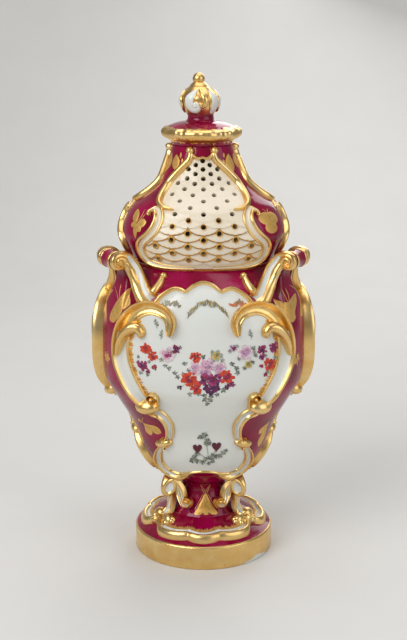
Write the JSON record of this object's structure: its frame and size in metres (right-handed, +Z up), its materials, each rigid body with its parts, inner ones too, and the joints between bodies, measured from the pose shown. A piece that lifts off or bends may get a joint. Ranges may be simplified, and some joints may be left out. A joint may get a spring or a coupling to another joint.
{
  "type": "potpourri vase",
  "caption": "Three-sided porcelain potpourri vase on a round plinth, with scroll handles and a pierced lift-off cover.",
  "frame": {"origin": "centre of the plinth's resting face", "axes": "+Z up the vase, -Y out of the front panel"},
  "size_m": [0.1384, 0.1307, 0.305],
  "materials": {
    "gilding": "burnished gilding over glaze",
    "claret_ground": "glossy claret enamel",
    "white_glaze": "glossy clear glaze"
  },
  "bodies": {
    "vase": {"plinth": "gilding", "stem": "claret_ground", "base_shell_front": "claret_ground", "base_shell_right": "claret_ground", "base_shell_left": "claret_ground", "scroll_leg_right": "gilding", "scroll_leg_left": "gilding", "scroll_leg_back": "gilding", "body_shell": "claret_ground", "panel_crest_front": "gilding", "panel_crest_right": "gilding", "panel_crest_left": "gilding", "upper_scrolls_front": "gilding", "upper_scrolls_right": "gilding", "upper_scrolls_left": "gilding", "lower_scrolls_front": "gilding", "lower_scrolls_right": "gilding", "lower_scrolls_left": "gilding", "handle_ear_right": "claret_ground", "handle_ear_left": "claret_ground", "handle_ear_back": "claret_ground", "handle_brackets_right": "gilding", "handle_brackets_left": "gilding", "handle_brackets_back": "gilding", "handle_roll_right": "claret_ground", "handle_roll_left": "claret_ground", "handle_roll_back": "claret_ground"},
    "cover": {"cover_shell": "white_glaze", "cover_flange": "white_glaze", "cover_ribs_front": "gilding", "cover_ribs_right": "gilding", "cover_ribs_left": "gilding", "cover_curls_front": "gilding", "cover_curls_right": "gilding", "cover_curls_left": "gilding", "collar": "gilding", "finial_neck": "claret_ground", "finial_bud": "gilding", "finial_leaves": "white_glaze", "finial_tip": "gilding"}
  },
  "joints": [
    {"name": "cover_lift", "type": "slide", "parent": "vase", "child": "cover", "axis": [0, 0, 1], "range_m": [0, 0.08]}
  ]
}
